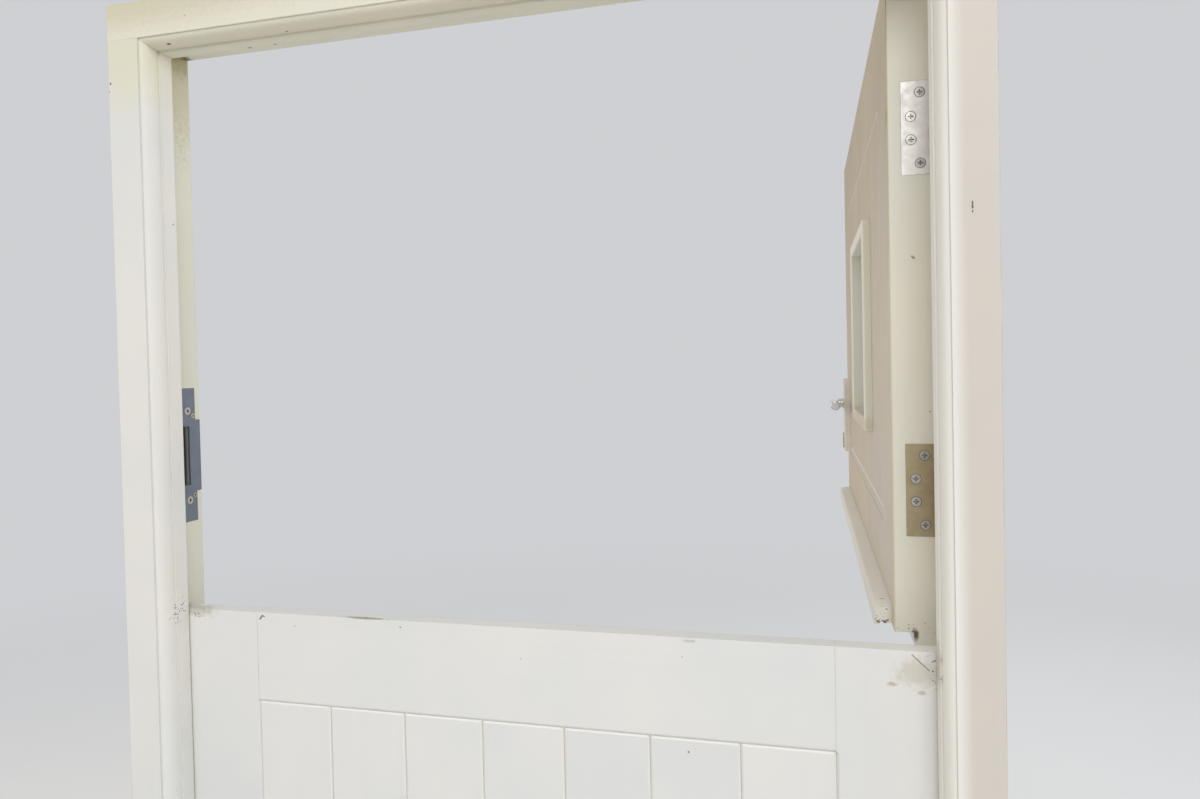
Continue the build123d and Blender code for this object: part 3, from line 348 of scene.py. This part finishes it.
def painted_timber(name, colour, across, boards=None, grime_and_shade=0.5, spots=0.02, marks=()):
    """Satin paint over timber whose grain runs along the axis that across leaves out.

    boards gives the axis and the first joint of a row of boards, so that each board has its own grain and
    tone, and its joints get a painted highlight of lighter paint."""
    tree = Tree(name)
    place = tree.place
    if boards:
        index, start = boards
        run = tree.math("DIVIDE", tree.math("SUBTRACT", tree.axis(index), start), board_pitch)
        board = tree.math("FLOOR", run)
        shift = tree.node("ShaderNodeCombineXYZ",
                          {side: tree.math("MULTIPLY", board, step) for side, step in enumerate(board_shift)})
        place = tree.vector("ADD", place, shift.outputs[0]).outputs[0]
    along = tree.drawn_out(place, across, timber_stretch)
    height = paint_relief(tree, place, along)
    base = paint_tone(tree, colour, place, along)
    # Mildew together with painted shade in the corners and between parts
    if grime_and_shade:
        soiled_and_shaded = tree.math("MULTIPLY", corner_grime_and_shade(tree, grime_shade_reach, grime_shade_ragged), grime_and_shade)
        base = tree.mix(soiled_and_shaded, base, mildew_and_shade)
    if spots:
        spotted = tree.math("MULTIPLY", specks(tree, spot_scale, spots, spot_size), spot_strength)
        base = tree.mix(spotted, base, speck_brown)
    for wear in marks:
        base = wear(tree, base)
    # Painted highlight: lighter paint along the boards' V-grooves, where their lit slopes catch the light
    if boards:
        off = tree.math("ABSOLUTE", tree.math("SUBTRACT", run, tree.math("ROUND", run)))
        off = tree.math("MULTIPLY", off, board_pitch)
        base = tree.mix(tree.span(off, *groove_reach), base, groove_highlight_cream)
    rough = tree.span(tree.noise(place, gloss_scale, detail=3.0), *middle_span, *paint_roughness)
    return tree.shade(Base_Color=base, Normal=tree.bump(height, arris_radius), Roughness=rough,
                      Specular_IOR_Level=paint_specular)


def blot(tree, centre, radii, strength, ragged=blot_ragged):
    """A mask for one stain: an ellipsoid with a ragged edge."""
    off = tree.vector("SUBTRACT", tree.place, centre).outputs[0]
    reach = tree.length(tree.vector("DIVIDE", off, radii).outputs[0])
    edge = tree.math("ADD", reach, tree.math("MULTIPLY", tree.ragged(blot_scale), ragged))
    return tree.span(edge, *blot_span, 0.0, strength)


def stain(centre, radii, colour, strength, ragged=blot_ragged):
    """Wear: a stain on whatever surface passes through an ellipsoid."""
    return lambda tree, base: tree.mix(blot(tree, centre, radii, strength, ragged), base, colour)


def pepper(centre, radii, share=0.4, colour=dirt_and_shade):
    """Wear: a patch of fine dark grains, thickest in its middle."""
    def apply(tree, base):
        key = ("grains", share)
        if key not in tree.made:
            tree.made[key] = specks(tree, pepper_scale, share, pepper_size)
        patch = blot(tree, centre, radii, pepper_strength)
        return tree.mix(tree.math("MULTIPLY", patch, tree.made[key]), base, colour)
    return apply


def stroke(start, end, width, colour, strength=0.9):
    """Wear: a scratch or line, as wide as width, from start to end."""
    def apply(tree, base):
        run = Vector(end) - Vector(start)
        off = tree.vector("SUBTRACT", tree.place, start).outputs[0]
        share = tree.math("DIVIDE", tree.vector("DOT_PRODUCT", off, tuple(run)).outputs["Value"],
                          max(run.length_squared, least_run_squared))
        share = tree.math("MAXIMUM", tree.math("MINIMUM", share, 1.0), 0.0)
        nearest = tree.node("ShaderNodeVectorMath", {0: tuple(run), "Scale": share}, operation="SCALE")
        reach = tree.length(tree.vector("SUBTRACT", off, nearest.outputs[0]).outputs[0])
        rough = tree.math("MULTIPLY", tree.ragged(stroke_scale), width)
        mask = tree.span(tree.math("ADD", reach, rough), width, width * stroke_core, 0.0, strength)
        return tree.mix(mask, base, colour)
    return apply


def spot(centre, width, colour=speck_brown, strength=0.9):
    """Wear: a round spot."""
    return stroke(centre, centre, width, colour, strength)


def shaded_face(tree, base):
    """Painted shade and warm light: the upper leaf's outer face, yellowed and dulled towards its lock edge
    and its top.
    """
    tone = tree.mix(tree.span(tree.axis(1), *face_fade_y), face_near_shade, face_far_shade)
    tone = tree.mix(tree.span(tree.axis(2), *face_fade_z), tone, face_top_shade)
    ratio = tree.vector("DIVIDE", tone, leaf_cream).outputs[0]
    ratio = tree.mix(tree.span(tree.axis(0), *face_limit), (1.0, 1.0, 1.0), ratio)
    return tree.vector("MULTIPLY", base, ratio).outputs[0]


def aged_and_shaded_edge(tree, base):
    """Wear and painted light: the upper leaf's hinge and lock edges, yellowed partly by age and partly as
    painted shade and warm light.
    """
    near = tree.span(tree.axis(1), *near_edge_limit)
    far = tree.span(tree.axis(1), *far_edge_limit)
    ratio = tuple(aged / paint for aged, paint in zip(edge_cream_and_shade, leaf_cream))
    ratio = tree.mix(tree.math("MAXIMUM", near, far), (1.0, 1.0, 1.0), ratio)
    return tree.vector("MULTIPLY", base, ratio).outputs[0]


def metal(name, colour, roughness, across, soil_and_shade=0.0, metallic=1.0, reach=soil_shade_reach, rim=0.0):
    """Brushed or coated metal with fine lines along the axis that across leaves out.

    soil is the strength of the dirt and painted shade in its corners and where it meets other parts, and rim
    the radius of edges that hold a dark line."""
    tree = Tree(name)
    lines = tree.noise(tree.drawn_out(tree.place, across, metal_stretch), line_scale, roughness=0.6)
    cloud = tree.noise(tree.place, metal_cloud_scale, detail=4.0, roughness=0.6)
    base = tree.mix(tree.span(cloud, *cloud_span), dimmed(colour, metal_dark_share), colour)
    # Dirt together with painted shade in the corners and where the metal meets other parts
    if soil_and_shade:
        soiled_and_shaded = tree.math("MULTIPLY", corner_grime_and_shade(tree, reach, soil_shade_ragged), soil_and_shade)
        base = tree.mix(soiled_and_shaded, base, dirt_and_shade)
    if rim:
        flat = tree.node("ShaderNodeNewGeometry").outputs["Normal"]
        turn = tree.length(tree.vector("SUBTRACT", tree.rounded(rim), flat).outputs[0])
        base = tree.mix(tree.span(turn, *rim_turn, 0.0, rim_strength), base, dirt_and_shade)
    smoother, rougher = metal_gloss_spread
    gloss = tree.noise(tree.place, metal_gloss_scale, detail=3.0)
    rough = tree.span(gloss, *middle_span, roughness + smoother, roughness + rougher)
    height = tree.math("MULTIPLY", lines, line_height)
    return tree.shade(Base_Color=base, Normal=tree.bump(height, metal_rounding), Metallic=metallic,
                      Roughness=rough)


def rubber(name, colour):
    tree = Tree(name)
    soft = tree.noise(tree.place, rubber_scale, detail=3.0)
    base = tree.mix(tree.span(soft, *middle_span), dimmed(colour, rubber_dark_share), colour)
    height = tree.math("MULTIPLY", soft, rubber_height)
    return tree.shade(Base_Color=base, Normal=tree.bump(height), Roughness=rubber_roughness)


def clear_glass(name):
    """Float glass with a slow wave and a few faint smears."""
    tree = Tree(name)
    wave = tree.math("MULTIPLY", tree.noise(tree.place, wave_scale, detail=1.0), wave_height)
    smears = tree.noise(tree.place, smear_scale, detail=5.0, roughness=0.7)
    smear = tree.span(smears, *smear_span, 0.0, smear_roughness)
    return tree.shade(Base_Color=glass_tint, Normal=tree.bump(wave), Roughness=smear,
                      Transmission_Weight=1.0, IOR=glass_ior)


def plain_floor():
    """The floor: lit and shaded like the door, and pale as the backdrop towards the horizon."""
    bpy.ops.mesh.primitive_plane_add(size=floor_size, location=(0, 0, 0))
    floor = bpy.context.object
    floor.name = "floor"
    tree = Tree("floor_plaster")
    tone = tree.noise(tree.place, floor_tone_scale, detail=3.0)
    tree.shade(Base_Color=tree.mix(tree.span(tone, *middle_span), *floor_colours), Roughness=floor_roughness)
    far = tree.span(tree.length(tree.place), *floor_fade, *floor_fade_share)
    path = tree.node("ShaderNodeLightPath")
    seen = tree.math("MAXIMUM", path.outputs["Is Camera Ray"], path.outputs["Is Glossy Ray"])
    seen = tree.math("MAXIMUM", seen, path.outputs["Is Transmission Ray"])
    glow = tree.node("ShaderNodeEmission", {"Color": backdrop})
    blend = tree.node("ShaderNodeMixShader",
                      {0: tree.math("MULTIPLY", far, seen), 1: tree.shader.outputs[0], 2: glow.outputs[0]})
    tree.set(tree.tree.nodes["Material Output"].inputs["Surface"], blend.outputs[0])
    floor.data.materials.append(tree.material)


def soft_sky():
    """Even light from all round, seen as a pale backdrop."""
    world = bpy.data.worlds.new("studio")
    bpy.context.scene.world = world
    world.use_nodes = True
    nodes, links = world.node_tree.nodes, world.node_tree.links
    nodes.clear()
    seen = nodes.new("ShaderNodeBackground")
    seen.inputs["Color"].default_value = (*backdrop, 1.0)
    light = nodes.new("ShaderNodeBackground")
    light.inputs["Color"].default_value = (*sky_colour, 1.0)
    light.inputs["Strength"].default_value = sky_strength
    path = nodes.new("ShaderNodeLightPath")
    shown = path.outputs["Is Camera Ray"]
    for ray in ("Is Glossy Ray", "Is Transmission Ray"):
        either = nodes.new("ShaderNodeMath")
        either.operation = "MAXIMUM"
        links.new(shown, either.inputs[0])
        links.new(path.outputs[ray], either.inputs[1])
        shown = either.outputs[0]
    choose = nodes.new("ShaderNodeMixShader")
    links.new(shown, choose.inputs[0])
    links.new(light.outputs[0], choose.inputs[1])
    links.new(seen.outputs[0], choose.inputs[2])
    out = nodes.new("ShaderNodeOutputWorld")
    links.new(choose.outputs[0], out.inputs[0])


def area_light(name, place, aim, size, power, colour=(1.0, 1.0, 1.0)):
    """A soft rectangular lamp, hidden from the camera and from what is seen through the glass."""
    light = bpy.data.lights.new(name, "AREA")
    light.shape = "RECTANGLE"
    light.size, light.size_y = size
    light.energy = power
    light.color = colour
    lamp = bpy.data.objects.new(name, light)
    bpy.context.scene.collection.objects.link(lamp)
    lamp.visible_camera = False
    lamp.visible_transmission = False
    lamp.location = place
    lamp.rotation_euler = (Vector(aim) - Vector(place)).to_track_quat("-Z", "Y").to_euler()


def studio_lamps():
    """A broad light from in front and above, a fill from each side, and one inside the building."""
    area_light("front_softbox", place=(1.6, -5.0, 5.2), aim=(0.0, 0.0, 1.3), size=(4.5, 3.5), power=205.0)
    area_light("left_fill", place=(-4.0, -0.2, 2.2), aim=(0.45, 0.3, 1.6), size=(2.5, 2.0), power=45.0,
               colour=(1.0, 0.84, 0.64))
    area_light("right_fill", place=(4.0, -0.6, 2.2), aim=(-0.45, 0.0, 1.5), size=(2.5, 2.0), power=35.0)
    area_light("inside_softbox", place=(2.8, 3.8, 3.0), aim=(0.2, 0.0, 1.2), size=(3.0, 2.0), power=50.0)


def photo_camera():
    """The photograph's camera: level within a degree or so, close to the door and a little to its right."""
    yaw, pitch, roll = (math.radians(angle) for angle in (camera_yaw, camera_pitch, camera_roll))
    ahead = Vector((math.sin(yaw) * math.cos(pitch), math.cos(yaw) * math.cos(pitch), math.sin(pitch)))
    level = Vector((math.cos(yaw), -math.sin(yaw), 0.0))
    above = level.cross(ahead)
    right = math.cos(roll) * level + math.sin(roll) * above
    up = math.cos(roll) * above - math.sin(roll) * level
    lens = bpy.data.cameras.new("camera")
    lens.sensor_width = sensor_width
    lens.lens = focal_length / photo_width * sensor_width
    lens.shift_x = (photo_width / 2 - optical_centre[0]) / photo_width
    lens.shift_y = (optical_centre[1] - photo_height / 2) / photo_width
    camera = bpy.data.objects.new("camera", lens)
    turn = Matrix((right, up, -ahead)).transposed().to_4x4()
    camera.matrix_world = Matrix.Translation(camera_place) @ turn
    bpy.context.scene.collection.objects.link(camera)
    bpy.context.scene.camera = camera


def dress(material, *names):
    for name in names:
        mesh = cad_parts[name].data
        mesh.materials.clear()
        mesh.materials.append(material)


# Wear that the photograph shows, with painted shade, shadow and highlights among it, in metres on the door at
# rest
left_wear_and_shade = [
    stain((-0.490, -0.030, 2.040), (0.060, 0.080, 0.110), top_yellow, 0.75, 0.5),
    # Painted shade: the left jamb's rebate face tinted yellow-green along its height
    stain((-0.478, 0.031, 1.300), (0.012, 0.040, 1.400), rebate_shade_yellow, 0.6, 0.3),
    stain((-0.475, 0.031, 2.040), (0.012, 0.030, 0.034), corner_mildew, 0.95),
    stain((-0.475, 0.031, 2.020), (0.012, 0.040, 0.130), head_mildew, 0.6),
    stain((-0.500, -0.030, 2.090), (0.420, 0.080, 0.052), head_mildew, 0.5, 0.7),
    spot((-0.5131, -0.044, 1.9833), 0.0020, dirt_and_shade),
    spot((-0.5150, -0.044, 1.9735), 0.0016, grey_dirt),
    pepper((-0.459, -0.020, 1.310), (0.012, 0.020, 0.020)),
    # Painted shade in the keep's slot
    stain((-0.490, 0.026, 1.5065), (0.014, 0.030, 0.110), slot_shade, 1.0, 0.0),
]
head_wear = [
    stain((-0.475, 0.031, 2.040), (0.012, 0.030, 0.034), corner_mildew, 0.95),
    stain((-0.500, -0.030, 2.090), (0.420, 0.080, 0.052), head_mildew, 0.5, 0.7),
    stain((-0.200, -0.030, 2.026), (0.600, 0.020, 0.012), head_mildew, 0.2, 0.8),
    spot((-0.3403, -0.0010, 2.024), 0.0042),
    spot((-0.3041, -0.0010, 2.024), 0.0034),
    spot((-0.3722, 0.0006, 2.024), 0.0016, grey_dirt),
    stroke((-0.437, -0.032, 2.030), (-0.426, -0.036, 2.023), 0.0024, dirt_and_shade),
    spot((-0.3994, -0.044, 2.0546), 0.0016, grey_dirt),
]
right_wear_and_light = [
    # Painted highlight: the right jamb's mould and stop made lighter than its face
    stain((0.463, -0.030, 1.300), (0.022, 0.100, 1.600), lit_mould_cream, 0.95, 0.1),
    stroke((0.4912, -0.044, 1.7644), (0.4911, -0.044, 1.7585), 0.0011, dirt_and_shade),
    stroke((0.4912, -0.044, 1.7560), (0.4911, -0.044, 1.7545), 0.0009, dirt_and_shade),
    pepper((0.459, -0.012, 1.300), (0.012, 0.020, 0.045)),
    stain((0.459, -0.010, 1.300), (0.010, 0.014, 0.030), grey_dirt, 0.6),
]
lower_wear = [
    stain((0.4400, 0.0, 1.2850), (0.026, 0.020, 0.018), corner_dirt, 0.42),
    stain((0.4150, 0.0, 1.2715), (0.006, 0.010, 0.003), brown_dirt, 0.6),
    stain((0.4443, 0.0, 1.2642), (0.005, 0.010, 0.003), brown_dirt, 0.5),
    stroke((0.4350, 0.0, 1.3036), (0.4514, 0.0, 1.2884), 0.0010, scratch_brown, 0.8),
    pepper((0.4600, 0.0, 1.2950), (0.012, 0.020, 0.030)),
    stain((0.4690, 0.0, 1.2950), (0.008, 0.020, 0.060), grey_dirt, 0.5),
    pepper((-0.4500, 0.0, 1.3020), (0.030, 0.020, 0.014)),
    stain((-0.4500, 0.0, 1.3060), (0.035, 0.020, 0.009), grey_dirt, 0.55),
    stroke((-0.3525, 0.0, 1.2990), (-0.3490, 0.0, 1.3035), 0.0014, dirt_and_shade),
    stroke((-0.3490, 0.0, 1.3035), (-0.3460, 0.0, 1.3025), 0.0010, dirt_and_shade),
    spot((-0.3024, 0.0, 1.2928), 0.0014, grey_dirt),
    spot((-0.1547, 0.0, 1.2995), 0.0018, grey_dirt),
    spot((0.0008, 0.0, 1.2707), 0.0012, grey_dirt),
    spot((0.1920, 0.0, 1.2856), 0.0012, grey_dirt),
    stain((0.2007, 0.0, 1.3040), (0.010, 0.010, 0.002), grey_dirt, 0.5),
    stain((-0.2026, 0.0, 1.3080), (0.030, 0.006, 0.0016), arris_dirt, 0.8),
]
lower_board_wear = [
    spot((0.1973, 0.0, 1.1786), 0.0014),
]
leaf_edge_wear_and_shade = [
    shaded_face,
    aged_and_shaded_edge,
    # Painted shadow in the notch at the foot of the leaf's hinge edge
    stain((0.4445, 0.052, 1.3080), (0.0045, 0.010, 0.008), notch_shadow_dark, 0.95),
    pepper((0.4400, 0.052, 1.3160), (0.030, 0.010, 0.016), 0.12, grey_dirt),
    spot((0.4486, 0.052, 1.7247), 0.0022, edge_brown),
    spot((0.4470, 0.052, 1.7262), 0.0014, edge_brown),
    stain((0.4223, 0.060, 1.8829), (0.003, 0.010, 0.014), arris_moss, 0.8),
    spot((0.4633, 0.052, 1.5557), 0.0014, grey_dirt),
]
window_wear = [
    stain((0.415, 0.457, 1.522), (0.040, 0.220, 0.018), window_foot_beige, 0.75, 0.4),
]
weatherboard_wear = [
    pepper((0.4115, 0.068, 1.3180), (0.012, 0.020, 0.010), 0.6),
    stroke((0.4060, 0.068, 1.3165), (0.4110, 0.068, 1.3150), 0.0016, dirt_and_shade),
    stroke((0.4110, 0.068, 1.3150), (0.4180, 0.068, 1.3190), 0.0010, chip_brown),
    stroke((0.4115, 0.070, 1.3335), (0.4170, 0.068, 1.3305), 0.0009, crack_brown),
    stroke((0.4122, 0.0995, 1.3335), (0.4160, 0.0988, 1.3340), 0.0012, dirt_and_shade),
    stroke((0.4122, 0.0680, 1.3165), (0.4150, 0.0680, 1.3150), 0.0024, dirt_and_shade),
]

# Painted highlights: lines of lighter paint in the rails' joints and along a stile, where the grooves' lit
# slopes catch the light
rail_line = 0.0030
stile_line = 0.0024
lower_joint_highlight = [
    stroke((last_lower_groove, 0.0, lower_rail_joint), (first_lower_groove, 0.0, lower_rail_joint), rail_line,
           joint_highlight_white, 0.9),
]
upper_joint_highlights = [
    *(stroke((upper_outer_face, first_upper_groove, level), (upper_outer_face, last_upper_groove, level),
             rail_line, groove_highlight_cream, 0.8) for level in upper_rail_joints),
    stroke((upper_outer_face, first_upper_groove, upper_rail_joints[0]),
           (upper_outer_face, first_upper_groove, upper_rail_joints[1]), stile_line, groove_highlight_cream, 0.8),
]


def dress_frame():
    dress(painted_timber("left_jamb_paint", frame_cream, UPRIGHT, grime_and_shade=0.35, marks=left_wear_and_shade), "left_jamb")
    dress(painted_timber("right_jamb_paint_and_light", shaded_jamb_pink, UPRIGHT, grime_and_shade=0.35, marks=right_wear_and_light), "right_jamb")
    dress(painted_timber("head_paint", head_cream, LEVEL_X, grime_and_shade=0.22, spots=0.04, marks=head_wear), "head")
    dress(painted_timber("sill_paint", sill_cream, LEVEL_X, grime_and_shade=0.6, spots=0.1), "sill")


def dress_lower_leaf():
    dress(painted_timber("lower_stile_paint", leaf_cream, UPRIGHT, grime_and_shade=0.25, marks=lower_wear),
          "lower_hinge_stile", "lower_lock_stile")
    dress(painted_timber("lower_rail_paint", leaf_cream, LEVEL_X, grime_and_shade=0.25,
                         marks=[*lower_wear, *lower_joint_highlight]),
          "lower_top_rail", "lower_bottom_rail")
    dress(painted_timber("lower_weatherboard_paint", leaf_cream, LEVEL_X), "lower_weatherboard")
    dress(painted_timber("lower_board_paint", leaf_cream, UPRIGHT, boards=(0, first_lower_groove), grime_and_shade=0.1,
                         marks=[*lower_board_wear, *lower_joint_highlight]),
          "lower_boards")


def dress_upper_leaf():
    # The outer face's painted shade and warm light, and the joints' painted highlights
    face_shade_and_highlights = [shaded_face, *upper_joint_highlights]
    dress(painted_timber("upper_stile_paint", leaf_cream, UPRIGHT, grime_and_shade=0.0, marks=leaf_edge_wear_and_shade),
          "upper_hinge_stile", "upper_lock_stile")
    dress(painted_timber("upper_rail_paint", leaf_cream, LEVEL_Y, grime_and_shade=0.2, marks=face_shade_and_highlights),
          "upper_top_rail", "upper_bottom_rail")
    dress(painted_timber("upper_board_paint", leaf_cream, UPRIGHT, boards=(1, first_upper_groove), grime_and_shade=0.1,
                         marks=face_shade_and_highlights),
          "upper_boards")
    dress(painted_timber("upper_weatherboard_paint", board_cream, LEVEL_Y, grime_and_shade=0.08,
                         marks=weatherboard_wear),
          "upper_weatherboard")
    dress(painted_timber("window_frame_paint", window_cream, UPRIGHT, grime_and_shade=0.2, marks=window_wear),
          "outer_window_frame", "inner_window_frame")
    dress(clear_glass("window_glass"), "window_glass")


def dress_hinges():
    satin = metal("satin_steel", satin_steel, 0.55, UPRIGHT, soil_and_shade=0.6)
    brown = metal("browned_steel", browned_steel, 0.55, UPRIGHT, soil_and_shade=0.8)
    for side in ("frame", "door"):
        dress(satin, f"upper_leaf_high_hinge_{side}_side")
        for hinge in ("upper_leaf_low", "lower_leaf_low", "lower_leaf_high"):
            dress(brown, f"{hinge}_hinge_{side}_side")
    dress(satin, "upper_hinge_pins", "lower_hinge_pins")


def dress_screws():
    dress(metal("zinc_screws", zinc, 0.33, UPRIGHT, soil_and_shade=1.0, reach=screw_soil_shade_reach, rim=screw_rim),
          "frame_hinge_screws", "upper_leaf_hinge_screws", "lower_leaf_hinge_screws", "strike_plate_screws",
          "forend_screws", "handle_plate_screws")


def dress_lock():
    dress(metal("keep_coating", keep_blue, 0.42, UPRIGHT, soil_and_shade=0.4, metallic=0.3), "strike_plate")
    dress(metal("lock_steel", lock_steel, 0.36, UPRIGHT, soil_and_shade=0.4),
          "lock_case", "latch_bolt", "dead_bolt", "spindle", "lock_follower")
    dress(metal("cylinder_brass", cylinder_brass, 0.3, LEVEL_Y, soil_and_shade=0.3), "lock_cylinder")
    dress(metal("lever_chrome", lever_chrome, 0.10, LEVEL_Y), "outer_lever", "inner_lever", "thumb_turn")
    dress(metal("handle_plate_paint", plate_cream, 0.34, UPRIGHT, soil_and_shade=0.1, metallic=0.0),
          "outer_handle_plate", "inner_handle_plate")


def dress_bolts():
    black = metal("black_coating", bolt_black, 0.5, UPRIGHT, metallic=0.0)
    for bolt in ("jamb_bolt", "joining_bolt"):
        dress(black, f"{bolt}_base", f"{bolt}_rod", f"{bolt}_keep")
    dress(black, "bolt_base_screws", "jamb_keep_screws", "joining_keep_screws")


dress_frame()
dress_lower_leaf()
dress_upper_leaf()
dress_hinges()
dress_screws()
dress_lock()
dress_bolts()
dress(metal("galvanised_bar", galvanised, 0.5, LEVEL_X, soil_and_shade=0.5), "water_bar")
dress(rubber("seal_rubber", seal_grey), "weather_seals")
plain_floor()
soft_sky()
studio_lamps()
photo_camera()

bpy.context.scene.view_settings.view_transform = "Standard"
